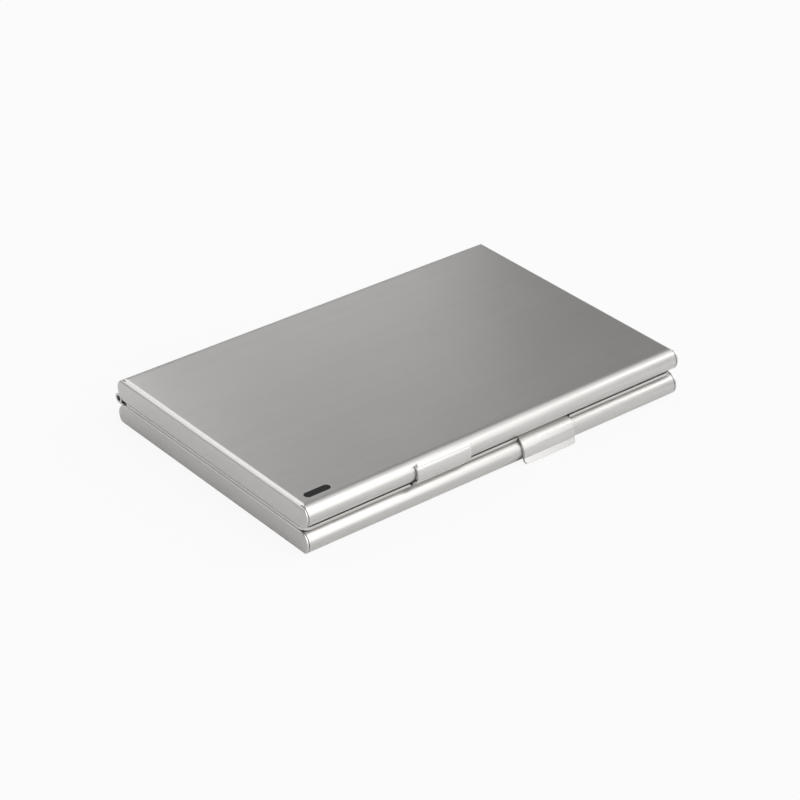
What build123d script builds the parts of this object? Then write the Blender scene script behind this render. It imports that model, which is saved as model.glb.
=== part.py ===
"""Double-sided business card case in brushed stainless steel.

Two identical pressed trays close on a thin divider plate, and all three share one rear hinge pin.
Two tabs on the divider's front edge hook round the trays' rolled front edges. As drawn, the upper
tab has to spring about 0.22 mm to let its tray go, and the lower one clears its tray by about
0.09 mm.
Origin: centre of the flat underside. X is along the case, -Y is the latch side, +Z is up.
"""
from build123d import *
import os
from math import asin, cos, degrees, radians, sin, sqrt

# ---- Driving dimensions, millimetres and degrees ----
case_length = 95.0          # X, over the end caps
case_width = 63.2           # Y, over the rolled long edges
tray_height = 4.9           # one tray, rim to outer face
tray_sheet = 0.4            # steel of the trays
divider_sheet = 0.6         # steel of the divider and its latch tabs
rim_gap = 0.15              # tray rim to divider face
cap_bend_radius = 1.1       # outside radius from the face into an end cap
cap_slit = 0.15             # open hairline between an end cap and the rolled edges
cap_edge_radius = 0.2       # rounding along each cap's free edge

divider_end_inset = 0.15    # divider's short edges, in from the end caps
divider_edge_inset = 1.3    # divider's long edges, in from the rolled edges
divider_corner_radius = 2.0

pin_diameter = 1.2
pin_running_clearance = 0.05    # radial, in the knuckles that turn on the pin
pin_offset = 0.4            # pin axis behind the rolled rear edges
pin_recess = 1.2            # pin end inside the last knuckle
hinge_end_inset = 0.4       # last knuckle to the end cap's outer face
knuckle_count = 7
knuckle_gap = 0.2

latch_width = 13.2
latch_crease_radius = 0.1   # inside radius where a finger lip turns out
latch_relief = 0.3          # notch beside each tab's root
upper_latch_x = -14.9       # centre of the tab that goes up over the upper tray
upper_latch_wrap = 31.0     # degrees past the frontmost point of the rolled edge
upper_lip_length = 0.3      # straight part of its finger lip
upper_lip_slope = 38.0      # lip's angle to the case faces
lower_latch_x = 12.1        # centre of the tab that goes down over the lower tray
lower_latch_wrap = 14.0
lower_lip_length = 1.25
lower_lip_slope = 60.0
lip_corner_share = 0.7      # corner radius over the lip's straight length

spring_sheet = 0.25
spring_width = 10.0
spring_foot = 12.0          # flat middle, spot-welded to the tray
spring_wing = 24.0          # reach of one lifting wing
spring_lift = 2.6           # rise at the wing's end
spring_tip_radius = 3.0     # tip curled back so that cards slide over it
spring_tip_angle = 28.0

mark_length = 6.0
mark_width = 1.8
mark_depth = 0.1            # enamel fill, flush with the face
mark_end_inset = 2.6
mark_edge_inset = 0.9       # from where the front edge starts to roll

# ---- Derived places ----
edge_radius = tray_height / 2
middle_z = tray_height + rim_gap + divider_sheet / 2
case_height = 2 * middle_z
rim_z = middle_z + divider_sheet / 2 + rim_gap      # upper tray's rim
edge_center_z = rim_z + edge_radius
edge_center_y = case_width / 2 - edge_radius        # +/- this, centres of the rolled edges
flat_width = 2 * edge_center_y
channel_length = case_length - 2 * (tray_sheet + cap_slit)

pin_radius = pin_diameter / 2
running_bore = pin_radius + pin_running_clearance
pin_y = case_width / 2 + pin_offset
hinge_length = case_length - 2 * hinge_end_inset
knuckle_length = (hinge_length - (knuckle_count - 1) * knuckle_gap) / knuckle_count
upper_knuckles = (2, 6)     # turned over, the same pressing gives 4 and 0
divider_knuckles = (1, 3, 5)


def knuckle_start(index):
    """X of the low end of one knuckle, counted from the left."""
    return -hinge_length / 2 + index * (knuckle_length + knuckle_gap)


def tray_pressing(bore_radius):
    """One tray, rim down, with its knuckles bored to a radius."""
    knuckle_radius = running_bore + tray_sheet
    leaf_top_z = middle_z + knuckle_radius
    leaf_root_y = edge_center_y + sqrt(
        (edge_radius - tray_sheet) ** 2 - (edge_center_z - leaf_top_z) ** 2
    )
    with BuildPart() as pressing:
        # face and rolled long edges, open towards the divider
        with BuildSketch(Plane.YZ.offset(-channel_length / 2)):
            with Locations((0, edge_center_z)):
                SlotOverall(case_width, tray_height)
                SlotOverall(
                    case_width - 2 * tray_sheet, tray_height - 2 * tray_sheet, mode=Mode.SUBTRACT
                )
            with Locations((0, rim_z)):
                Rectangle(flat_width, edge_radius, mode=Mode.SUBTRACT)
        extrude(amount=channel_length)
        # end caps with their rounded ends
        with BuildSketch(Plane.YZ.offset(-case_length / 2), mode=Mode.PRIVATE) as cap_outline:
            with Locations((0, edge_center_z)):
                SlotOverall(case_width, tray_height)
        for shift in (0, case_length - tray_sheet):
            extrude(cap_outline.sketch.moved(Location((shift, 0, 0))), amount=tray_sheet)
        # bends that join each cap to the flat part of the face
        inner_bend = cap_bend_radius - tray_sheet
        for side in (-1, 1):
            with BuildSketch(Plane.XZ.offset(-flat_width / 2)):
                with Locations(
                    (side * (case_length / 2 - cap_bend_radius), case_height - cap_bend_radius)
                ):
                    Rectangle(
                        cap_bend_radius,
                        cap_bend_radius,
                        align=(Align.MIN if side > 0 else Align.MAX, Align.MIN),
                    )
                    Circle(inner_bend, mode=Mode.SUBTRACT)
            extrude(amount=flat_width)
        # outer envelope rounds the bends and trims everything to them
        with BuildSketch(Plane.XZ.offset(-case_width / 2)) as envelope:
            with Locations((0, rim_z)):
                Rectangle(case_length, tray_height, align=(Align.CENTER, Align.MIN))
            fillet(envelope.vertices().group_by(Axis.Y)[-1], cap_bend_radius)
        extrude(amount=case_width, mode=Mode.INTERSECT)
        # soft outer edge along the free side of each cap
        cap_faces = pressing.faces().filter_by(Axis.X).sort_by(Axis.X)
        for cap_face in (cap_faces[0], cap_faces[-1]):
            fillet(cap_face.edges().filter_by(Axis.Y).sort_by(Axis.Z)[0], cap_edge_radius)
        # knuckles, each on a leaf that runs tangent into the rolled rear edge
        for index in upper_knuckles:
            with BuildSketch(Plane.YZ.offset(knuckle_start(index))):
                with Locations((pin_y, middle_z)):
                    Circle(knuckle_radius)
                with Locations((leaf_root_y, leaf_top_z)):
                    Rectangle(pin_y - leaf_root_y, tray_sheet, align=(Align.MIN, Align.MAX))
                with Locations((pin_y, middle_z)):
                    Circle(bore_radius, mode=Mode.SUBTRACT)
            extrude(amount=knuckle_length)
    return pressing.part


def latch_tab(center_x, direction, wrap_angle, lip_length, lip_slope):
    """A tab that hugs a rolled front edge; direction is 1 for up and -1 for down."""
    tab_plane = Plane(origin=(center_x, 0, middle_z), x_dir=(0, 1, 0), z_dir=(direction, 0, 0))
    hug_center = Vector(-edge_center_y, divider_sheet / 2 + rim_gap + edge_radius)
    hug_radius = edge_radius + rim_gap
    crease_radius = latch_crease_radius + divider_sheet
    outward = Vector(-cos(radians(wrap_angle)), sin(radians(wrap_angle)))
    crease_center = hug_center + outward * (hug_radius + crease_radius)
    with BuildPart() as tab:
        with BuildSketch(tab_plane):
            with BuildLine():
                Line(
                    (-edge_center_y + divider_edge_inset, divider_sheet / 2),
                    (-edge_center_y, divider_sheet / 2),
                )
                CenterArc(hug_center, hug_radius, -90, -(90 + wrap_angle))
                crease = CenterArc(
                    crease_center, crease_radius, -wrap_angle, 90 - lip_slope + wrap_angle
                )
                PolarLine(crease @ 1, lip_length, 180 - lip_slope)
                offset(amount=divider_sheet, side=Side.LEFT)
            make_face()
        extrude(amount=latch_width / 2, both=True)
        sheet_edges = tab.edges().filter_by(lambda e: abs(e.length - divider_sheet) < 0.001)
        lip_corners = sheet_edges.sort_by(Axis.Z, reverse=direction > 0)[:2]
        fillet(lip_corners, lip_corner_share * lip_length)
    return tab.part


# ---- Trays: one pressing, used twice ----
mark_x = -case_length / 2 + mark_end_inset + mark_length / 2
mark_y = -edge_center_y + mark_edge_inset + mark_width / 2

with BuildPart() as upper_tray:
    add(tray_pressing(running_bore))
    with BuildSketch(Plane.XY.offset(case_height)):
        with Locations((mark_x, mark_y)):
            SlotOverall(mark_length, mark_width)
    extrude(amount=-mark_depth, mode=Mode.SUBTRACT)

with BuildPart() as lower_tray:
    # the pin is gripped by this tray's knuckles and turns in the others
    add(tray_pressing(pin_radius).rotate(Axis((0, 0, middle_z), (0, 1, 0)), 180))

with BuildPart() as corner_mark:
    with BuildSketch(Plane.XY.offset(case_height)):
        with Locations((mark_x, mark_y)):
            SlotOverall(mark_length, mark_width)
    extrude(amount=-mark_depth)

# ---- Divider plate with its knuckles and latch tabs ----
with BuildPart() as divider_plate:
    with BuildSketch(Plane.XY.offset(middle_z - divider_sheet / 2)):
        RectangleRounded(
            case_length - 2 * divider_end_inset,
            case_width - 2 * divider_edge_inset,
            divider_corner_radius,
        )
        # clear the plate where each tab leaves it
        for center_x in (upper_latch_x, lower_latch_x):
            with Locations((center_x, -edge_center_y)):
                Rectangle(
                    latch_width + 2 * latch_relief,
                    edge_radius,
                    align=(Align.CENTER, Align.MAX),
                    mode=Mode.SUBTRACT,
                )
    extrude(amount=divider_sheet)
    add(latch_tab(upper_latch_x, 1, upper_latch_wrap, upper_lip_length, upper_lip_slope))
    add(latch_tab(lower_latch_x, -1, lower_latch_wrap, lower_lip_length, lower_lip_slope))
    for index in divider_knuckles:
        with BuildSketch(Plane.YZ.offset(knuckle_start(index))):
            with Locations((pin_y, middle_z)):
                Circle(running_bore + divider_sheet)
            with Locations((edge_center_y, middle_z)):
                Rectangle(pin_y - edge_center_y, divider_sheet, align=(Align.MIN, Align.CENTER))
            with Locations((pin_y, middle_z)):
                Circle(running_bore, mode=Mode.SUBTRACT)
        extrude(amount=knuckle_length)

# ---- Hinge pin ----
pin_length = hinge_length - 2 * pin_recess
with BuildPart() as hinge_pin:
    with BuildSketch(Plane.YZ.offset(-pin_length / 2)):
        with Locations((pin_y, middle_z)):
            Circle(pin_radius)
    extrude(amount=pin_length)

# ---- Card springs: a bowed leaf welded inside each tray by its flat middle ----
wing_radius = (spring_wing**2 + spring_lift**2) / (2 * spring_lift)
wing_angle = degrees(asin(spring_wing / wing_radius))
face_inside_z = case_height - tray_sheet

with BuildPart() as upper_card_spring:
    with BuildSketch(Plane.XZ.offset(-spring_width / 2)) as spring_profile:
        for side in (-1, 1):
            with BuildLine():
                foot = Line((0, face_inside_z), (side * spring_foot / 2, face_inside_z))
                wing = CenterArc(
                    (side * spring_foot / 2, face_inside_z - wing_radius),
                    wing_radius,
                    90,
                    -side * wing_angle,
                )
                tip_center = wing @ 1 + Vector(
                    side * sin(radians(wing_angle)), cos(radians(wing_angle))
                ) * spring_tip_radius
                CenterArc(
                    tip_center,
                    spring_tip_radius,
                    270 - side * wing_angle,
                    side * spring_tip_angle,
                )
                offset(amount=spring_sheet, side=Side.RIGHT if side > 0 else Side.LEFT)
            make_face()
    extrude(amount=spring_width)

with BuildPart() as lower_card_spring:
    add(upper_card_spring.part.rotate(Axis((0, 0, middle_z), (0, 1, 0)), 180))

# ---- Write one file for each piece ----
pieces = {
    "upper_tray": upper_tray,
    "lower_tray": lower_tray,
    "divider_plate": divider_plate,
    "hinge_pin": hinge_pin,
    "upper_card_spring": upper_card_spring,
    "lower_card_spring": lower_card_spring,
    "corner_mark": corner_mark,
}
os.makedirs("parts", exist_ok=True)
for name, piece in pieces.items():
    piece.part.label = name
    export_step(piece.part, f"parts/{name}.step")
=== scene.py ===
"""Looks for the double-sided steel card case: materials, floor, light and camera."""
import math

import bpy
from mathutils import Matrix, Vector

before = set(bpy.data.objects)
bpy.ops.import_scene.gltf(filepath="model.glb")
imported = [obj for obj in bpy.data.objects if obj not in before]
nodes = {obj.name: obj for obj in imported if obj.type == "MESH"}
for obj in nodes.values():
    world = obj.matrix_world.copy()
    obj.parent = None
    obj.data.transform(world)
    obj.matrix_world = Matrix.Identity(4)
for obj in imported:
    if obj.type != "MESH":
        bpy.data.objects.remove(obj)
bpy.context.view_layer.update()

MM = 0.001

# ---- Steel ----
# patterns, in features per metre
ACROSS_BRUSHING = 9000.0    # hairlines about 0.1 mm wide
ALONG_BRUSHING = 80.0       # and 12 mm long
BANDS_ACROSS = 900.0        # soft bands that the brushing wheel leaves
BANDS_ALONG = 14.0
CLOUDS = 45.0               # handling marks about 20 mm across

# how much each pattern adds to or takes from the lightness, as a share of the colour
HAIRLINE_LIGHTNESS = 0.16
BAND_LIGHTNESS = 0.08
CLOUD_LIGHTNESS = 0.10
# the edge term is a painted highlight: it lightens the base colour on every edge
EDGE_PAINTED_HIGHLIGHT = 0.25

# and how much to the roughness
HAIRLINE_ROUGHNESS = 0.07
CLOUD_ROUGHNESS = 0.04
EDGE_ROUGHNESS = -0.08

CAP_FACING = 0.75           # an end cap's normal points at least this far along X
EDGE_RADIUS = 0.08 * MM     # width of the rounded edge, and of the painted highlight and the polish on it
EDGE_MASK_STEEPNESS = 2.0             # how soon a bent normal counts as a full edge, for the painted highlight and the polish
BUMP_DEPTH = 0.01 * MM
HAIRLINE_BUMP = 0.1
ANISOTROPY = 0.45
QUARTER_TURN = 0.25         # the shader counts rotation in whole turns

# ---- Enamel ----
PEEL = 1500.0               # features per metre
SCUFFS_ALONG = 300.0
SCUFFS_ACROSS = 5000.0
PEEL_BUMP = 0.2
ENAMEL_DARK = (0.003, 0.003, 0.0032, 1)
ENAMEL_LIGHT = (0.012, 0.012, 0.0125, 1)
ENAMEL_ROUGHNESS = 0.3
SCUFF_ROUGHNESS = 0.2
ENAMEL_SPECULAR = 0.2

# ---- Surroundings ----
WHITE = (1, 1, 1, 1)
FLOOR_SIZE = 12.0
FLOOR_GREY = (0.8, 0.8, 0.8, 1)             # what the steel and the lights meet
FLOOR_SHADOW_GREY = (0.05, 0.05, 0.05, 1)   # how strongly the camera sees shadows
FLOOR_GLOW = 0.91                           # how bright the camera sees it
SKY_SEEN = (0.97, 0.98, 0.97, 1)
SKY_AROUND = 0.30

# ---- Camera ----
LENS = 120.69
SENSOR_WIDTH = 36.0
NEAREST, FARTHEST = 0.01, 50.0
CAMERA_PLACE = Vector((-294.6, -366.0, 281.25)) * MM
CAMERA_AIM = Vector((-3.34, -4.15, 5.35)) * MM


# ---- Node helpers ----
def new_material(name):
    """A new material, its node tree and its Principled shader, linked to the output."""
    material = bpy.data.materials.new(name)
    material.use_nodes = True
    tree = material.node_tree
    shader = tree.nodes["Principled BSDF"]
    return material, tree, shader


def node(tree, kind, **settings):
    """Add a shader node; settings name its properties, or its inputs by their labels."""
    made = tree.nodes.new(kind)
    for key, value in settings.items():
        if hasattr(made, key):
            setattr(made, key, value)
        else:
            made.inputs[key.replace("_", " ")].default_value = value
    return made


def feed(tree, socket, value):
    """Set an input to a number, or link it to another node's output."""
    if isinstance(value, (int, float)):
        socket.default_value = value
    else:
        tree.links.new(value, socket)


def math_node(tree, operation, first, second=None, clamp=False):
    """A math node; each operand is a number or a socket."""
    made = node(tree, "ShaderNodeMath", operation=operation, use_clamp=clamp)
    feed(tree, made.inputs[0], first)
    if second is not None:
        feed(tree, made.inputs[1], second)
    return made.outputs[0]


def add_up(tree, first, *others):
    """The sum of several sockets or numbers."""
    total = first
    for other in others:
        total = math_node(tree, "ADD", total, other)
    return total


def swing(tree, pattern, amount):
    """How far a 0 to 1 pattern is from its middle, times amount."""
    return math_node(tree, "MULTIPLY", math_node(tree, "SUBTRACT", pattern, 0.5), amount)


def stretched_noise(tree, coordinates, scale, detail=3.0, roughness=0.6):
    """Noise stretched by a scale per axis, in features per metre."""
    mapping = node(tree, "ShaderNodeMapping", Scale=scale)
    tree.links.new(coordinates, mapping.inputs["Vector"])
    noise = node(tree, "ShaderNodeTexNoise", Scale=1.0, Detail=detail, Roughness=roughness)
    tree.links.new(mapping.outputs["Vector"], noise.inputs["Vector"])
    return noise.outputs["Fac"]


def blend_values(tree, factor, first, second):
    """first where factor is 0 and second where it is 1."""
    made = node(tree, "ShaderNodeMix", data_type="FLOAT")
    tree.links.new(factor, made.inputs["Factor"])
    feed(tree, made.inputs[2], first)
    feed(tree, made.inputs[3], second)
    return made.outputs[0]


def camera_only(tree, out, for_camera, for_others):
    """Show one shader to the camera and another to every other ray."""
    ray = node(tree, "ShaderNodeLightPath")
    mix = node(tree, "ShaderNodeMixShader")
    tree.links.new(ray.outputs["Is Camera Ray"], mix.inputs[0])
    tree.links.new(for_others.outputs[0], mix.inputs[1])
    tree.links.new(for_camera.outputs[0], mix.inputs[2])
    tree.links.new(mix.outputs[0], out.inputs["Surface"])


# ---- Materials ----
def edge_highlight_and_polish(tree, rounded, geometry):
    """1 on an edge, which gets a painted highlight and polish, and 0 elsewhere, from how far the
    rounded normal leaves the flat one.
    """
    likeness = node(tree, "ShaderNodeVectorMath", operation="DOT_PRODUCT")
    tree.links.new(rounded.outputs["Normal"], likeness.inputs[0])
    tree.links.new(geometry.outputs["Normal"], likeness.inputs[1])
    difference = math_node(tree, "SUBTRACT", 1.0, likeness.outputs["Value"], clamp=True)
    return math_node(tree, "MULTIPLY", difference, EDGE_MASK_STEEPNESS, clamp=True)


def tangent_along_brushing(tree, on_cap):
    """Along X on the faces, and along Y on the end caps."""
    along_x = node(tree, "ShaderNodeCombineXYZ", X=1.0, Y=0.0, Z=0.0)
    along_y = node(tree, "ShaderNodeCombineXYZ", X=0.0, Y=1.0, Z=0.0)
    tangent = node(tree, "ShaderNodeMix", data_type="VECTOR")
    tree.links.new(on_cap, tangent.inputs["Factor"])
    tree.links.new(along_x.outputs[0], tangent.inputs[4])
    tree.links.new(along_y.outputs[0], tangent.inputs[5])
    return tangent.outputs[1]


def brushed_steel(name, colour, roughness, grain=1.0, rise=ACROSS_BRUSHING):
    """Steel with fine brushing along X on the faces, and along Y on the end caps.

    grain is the strength of the brushing. rise is how many hairlines per metre of height;
    a strip bowed in height needs few.
    """
    material, tree, shader = new_material(name)
    place = node(tree, "ShaderNodeTexCoord").outputs["Object"]
    geometry = node(tree, "ShaderNodeNewGeometry")
    normal_parts = node(tree, "ShaderNodeSeparateXYZ")
    tree.links.new(geometry.outputs["Normal"], normal_parts.inputs[0])
    along_x = math_node(tree, "ABSOLUTE", normal_parts.outputs["X"])
    on_cap = math_node(tree, "GREATER_THAN", along_x, CAP_FACING)

    face_grain = stretched_noise(tree, place, (ALONG_BRUSHING, ACROSS_BRUSHING, rise))
    cap_grain = stretched_noise(tree, place, (ACROSS_BRUSHING, ALONG_BRUSHING, ACROSS_BRUSHING))
    hairlines = blend_values(tree, on_cap, face_grain, cap_grain)
    bands = stretched_noise(tree, place, (BANDS_ALONG, BANDS_ACROSS, BANDS_ACROSS), detail=2.0)
    clouds = stretched_noise(tree, place, (CLOUDS, CLOUDS, CLOUDS), detail=4.0, roughness=0.55)
    rounded = node(tree, "ShaderNodeBevel", samples=4, Radius=EDGE_RADIUS)
    edge = edge_highlight_and_polish(tree, rounded, geometry)

    lightness = add_up(
        tree,
        swing(tree, hairlines, HAIRLINE_LIGHTNESS * grain),
        swing(tree, clouds, CLOUD_LIGHTNESS),
        swing(tree, bands, BAND_LIGHTNESS * grain),
        # painted highlight: edges get a lighter base colour
        math_node(tree, "MULTIPLY", edge, EDGE_PAINTED_HIGHLIGHT),
        1.0,
    )
    tint = node(tree, "ShaderNodeVectorMath", operation="SCALE")
    tint.inputs[0].default_value = colour
    tree.links.new(lightness, tint.inputs["Scale"])
    tree.links.new(tint.outputs["Vector"], shader.inputs["Base Color"])

    uneven = add_up(
        tree,
        swing(tree, hairlines, HAIRLINE_ROUGHNESS * grain),
        swing(tree, clouds, CLOUD_ROUGHNESS),
        math_node(tree, "MULTIPLY", edge, EDGE_ROUGHNESS),
    )
    tree.links.new(
        math_node(tree, "ADD", uneven, roughness, clamp=True), shader.inputs["Roughness"]
    )

    bump = node(tree, "ShaderNodeBump", Strength=HAIRLINE_BUMP * grain, Distance=BUMP_DEPTH)
    tree.links.new(hairlines, bump.inputs["Height"])
    tree.links.new(rounded.outputs["Normal"], bump.inputs["Normal"])
    tree.links.new(bump.outputs["Normal"], shader.inputs["Normal"])

    # highlights spread across the brushing, a quarter turn from the tangent along it
    tree.links.new(tangent_along_brushing(tree, on_cap), shader.inputs["Tangent"])
    shader.inputs["Metallic"].default_value = 1.0
    shader.inputs["Anisotropic"].default_value = ANISOTROPY
    shader.inputs["Anisotropic Rotation"].default_value = QUARTER_TURN
    return material


def black_enamel(name):
    """Satin enamel with a faint orange-peel surface and dust-fine scuffs."""
    material, tree, shader = new_material(name)
    place = node(tree, "ShaderNodeTexCoord").outputs["Object"]
    peel = stretched_noise(tree, place, (PEEL, PEEL, PEEL), detail=2.0)
    scuffs = stretched_noise(tree, place, (SCUFFS_ALONG, SCUFFS_ACROSS, SCUFFS_ACROSS))
    ramp = node(tree, "ShaderNodeValToRGB")
    ramp.color_ramp.elements[0].color = ENAMEL_DARK
    ramp.color_ramp.elements[1].color = ENAMEL_LIGHT
    tree.links.new(scuffs, ramp.inputs["Fac"])
    tree.links.new(ramp.outputs["Color"], shader.inputs["Base Color"])
    scuffed = math_node(tree, "MULTIPLY", scuffs, SCUFF_ROUGHNESS)
    tree.links.new(
        math_node(tree, "ADD", scuffed, ENAMEL_ROUGHNESS), shader.inputs["Roughness"]
    )
    shader.inputs["Specular IOR Level"].default_value = ENAMEL_SPECULAR
    bump = node(tree, "ShaderNodeBump", Strength=PEEL_BUMP, Distance=BUMP_DEPTH)
    tree.links.new(peel, bump.inputs["Height"])
    tree.links.new(bump.outputs["Normal"], shader.inputs["Normal"])
    return material


def dress(name, material):
    """Give a CAD node its one material."""
    piece = nodes[name]
    piece.data.materials.clear()
    piece.data.materials.append(material)


tray_steel = brushed_steel("tray_brushed_steel", (0.60, 0.59, 0.575), 0.30)
divider_steel = brushed_steel("divider_bright_steel", (0.66, 0.65, 0.635), 0.24, grain=0.7)
pin_steel = brushed_steel("pin_drawn_steel", (0.42, 0.41, 0.40), 0.35)
spring_steel = brushed_steel(
    "spring_strip_steel", (0.58, 0.57, 0.555), 0.26, grain=0.6, rise=ALONG_BRUSHING
)
for name in ("upper_tray", "lower_tray"):
    dress(name, tray_steel)
dress("divider_plate", divider_steel)
dress("hinge_pin", pin_steel)
for name in ("upper_card_spring", "lower_card_spring"):
    dress(name, spring_steel)
dress("corner_mark", black_enamel("corner_black_enamel"))


# ---- Floor, light and camera ----
def floor():
    """A plain floor: near-white to the camera, a pale grey to the steel and the lights."""
    bpy.ops.mesh.primitive_plane_add(size=FLOOR_SIZE)
    plane = bpy.context.object
    plane.name = "floor"
    material = bpy.data.materials.new("pale_floor")
    material.use_nodes = True
    tree = material.node_tree
    tree.nodes.clear()
    out = node(tree, "ShaderNodeOutputMaterial")
    lit = node(tree, "ShaderNodeBsdfDiffuse", Color=FLOOR_GREY)
    seen_lit = node(tree, "ShaderNodeBsdfDiffuse", Color=FLOOR_SHADOW_GREY)
    glow = node(tree, "ShaderNodeEmission", Color=WHITE, Strength=FLOOR_GLOW)
    seen = node(tree, "ShaderNodeAddShader")
    tree.links.new(seen_lit.outputs[0], seen.inputs[0])
    tree.links.new(glow.outputs[0], seen.inputs[1])
    camera_only(tree, out, seen, lit)
    plane.data.materials.append(material)


def softbox(name, place, size, radiance):
    """A rectangular light that faces the case and that the camera doesn't see, in metres."""
    light = bpy.data.lights.new(name, "AREA")
    light.shape = "RECTANGLE"
    light.size, light.size_y = size
    light.energy = math.pi * light.size * light.size_y * radiance
    lamp = bpy.data.objects.new(name, light)
    bpy.context.scene.collection.objects.link(lamp)
    lamp.location = place
    lamp.rotation_euler = (-Vector(place)).to_track_quat("-Z", "Y").to_euler()
    lamp.visible_camera = False


def sky():
    """Even pale surroundings, dimmer in reflections than to the camera."""
    world = bpy.data.worlds.new("studio")
    bpy.context.scene.world = world
    world.use_nodes = True
    tree = world.node_tree
    tree.nodes.clear()
    out = node(tree, "ShaderNodeOutputWorld")
    seen = node(tree, "ShaderNodeBackground", Color=SKY_SEEN, Strength=1.0)
    around = node(tree, "ShaderNodeBackground", Color=WHITE, Strength=SKY_AROUND)
    camera_only(tree, out, seen, around)


def camera():
    """A long lens looking down on the case from the front left."""
    data = bpy.data.cameras.new("camera")
    data.lens = LENS
    data.sensor_width = SENSOR_WIDTH
    data.clip_start, data.clip_end = NEAREST, FARTHEST
    made = bpy.data.objects.new("camera", data)
    bpy.context.scene.collection.objects.link(made)
    made.location = CAMERA_PLACE
    made.rotation_euler = (CAMERA_AIM - made.location).to_track_quat("-Z", "Y").to_euler()
    bpy.context.scene.camera = made


floor()
sky()
# the large boxes light the rolled edges and the floor; the small rear ones grade the satin face
softbox("key", (0.27, -0.15, 0.41), (0.4, 0.4), 0.6)
softbox("overhead_front", (0.10, -0.35, 0.60), (0.5, 0.4), 2.0)
softbox("front_fill", (-0.03, -0.90, 0.42), (1.5, 0.8), 1.7)
softbox("right_fill", (0.90, -0.20, 0.45), (0.8, 0.7), 2.0)
softbox("overhead_rear", (0.05, 0.45, 0.65), (0.5, 0.4), 1.25)
softbox("rear_left", (-0.35, 0.45, 0.40), (0.5, 0.5), 1.1)
softbox("rear_face_left", (0.04, 0.28, 0.17), (0.12, 0.12), 1.1)
softbox("rear_face_right", (0.20, 0.30, 0.17), (0.12, 0.12), 0.5)
camera()
bpy.context.scene.view_settings.view_transform = "Standard"
